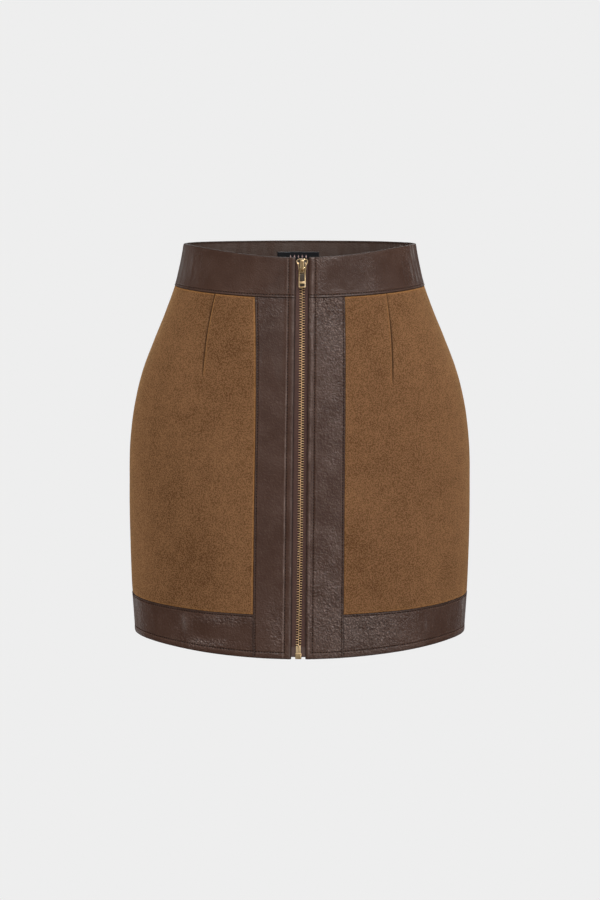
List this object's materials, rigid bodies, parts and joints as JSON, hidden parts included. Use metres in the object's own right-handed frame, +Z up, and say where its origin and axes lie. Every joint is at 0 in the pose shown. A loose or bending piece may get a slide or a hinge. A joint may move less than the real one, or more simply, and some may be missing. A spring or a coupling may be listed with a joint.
{
  "type": "faux leather patchwork skirt",
  "caption": "Short fitted skirt of suede-look panels framed by faux leather bands, with a zip down the whole front, hollow as worn.",
  "frame": {"origin": "centre of the waist opening, halfway down the waistband at the sides, where the wearer's waist holds the skirt up", "axes": "+Z up out of the waist, -Y out of the front with the zip, +X towards the right as seen from the front"},
  "size_m": [0.3546, 0.232, 0.4184],
  "materials": {
    "suede": "warm brown brushed suede-look cloth, matt, with a fine speckled nap",
    "leather": "dark chocolate faux leather, fine crinkled grain, soft sheen",
    "tape": "brown woven zip tape, matt",
    "brass": "polished pale gold metal",
    "satin": "black woven satin label, bare of lettering"
  },
  "bodies": {
    "skirt": {"front_panel_left": "suede", "front_panel_right": "suede", "back_panel_left": "suede", "back_panel_right": "suede", "front_band_left": "leather", "front_band_right": "leather", "waistband_front_left": "leather", "waistband_front_right": "leather", "waistband_back": "leather", "hem_band_left": "leather", "hem_band_right": "leather", "hem_band_back": "leather", "zip_tape_left": "tape", "zip_tape_right": "tape", "zip_chain": "brass", "zip_slider": "brass", "zip_bottom_box": "brass", "back_label": "satin"},
    "pull_tab": {"zip_pull": "brass"}
  },
  "joints": [
    {"name": "pull_swing", "type": "hinge", "parent": "skirt", "child": "pull_tab", "pos_m": [0.00254, -0.0905, -0.0024], "axis": [-1, 0, 0], "range_deg": [0, 150]}
  ]
}
